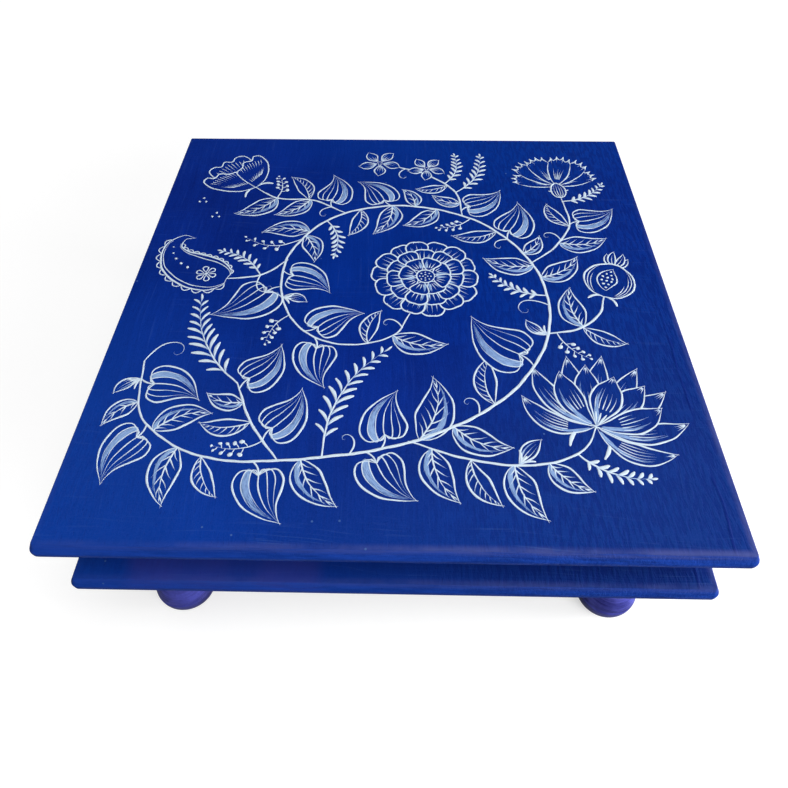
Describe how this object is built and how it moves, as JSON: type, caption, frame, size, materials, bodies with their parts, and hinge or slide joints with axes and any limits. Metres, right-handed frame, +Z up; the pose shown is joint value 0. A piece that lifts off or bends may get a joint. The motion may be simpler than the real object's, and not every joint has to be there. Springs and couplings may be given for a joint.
{
  "type": "bajot low table",
  "caption": "Low square bajot table: two stacked boards held apart by a recessed frame, on four turned ball-foot legs, in hand-brushed blue paint with white line flowers.",
  "frame": {"origin": "on the floor, under the middle of the table", "axes": "+Z up, +X to the right, -Y to the front, the side that the picture shows"},
  "size_m": [0.382, 0.382, 0.165],
  "materials": {
    "board_paint": "cobalt blue emulsion brushed by hand over softwood, satin, with the grain and brush marks showing",
    "frame_paint": "the same blue paint, one thinner coat, matt",
    "leg_paint": "violet blue enamel over turned hardwood, semi gloss",
    "white_paint": "off-white acrylic line work, brushed on by hand, slightly raised",
    "screw_steel": "yellow-grey zinc plate, dull"
  },
  "bodies": {
    "root": {"top_board": "board_paint", "lower_board": "board_paint", "corner_post_front_left": "frame_paint", "corner_post_front_right": "frame_paint", "corner_post_back_left": "frame_paint", "corner_post_back_right": "frame_paint", "front_rail": "frame_paint", "right_rail": "frame_paint", "back_rail": "frame_paint", "left_rail": "frame_paint", "leg_front_left": "leg_paint", "leg_front_right": "leg_paint", "leg_back_left": "leg_paint", "leg_back_right": "leg_paint", "assembly_screws": "screw_steel"}
  },
  "joints": []
}
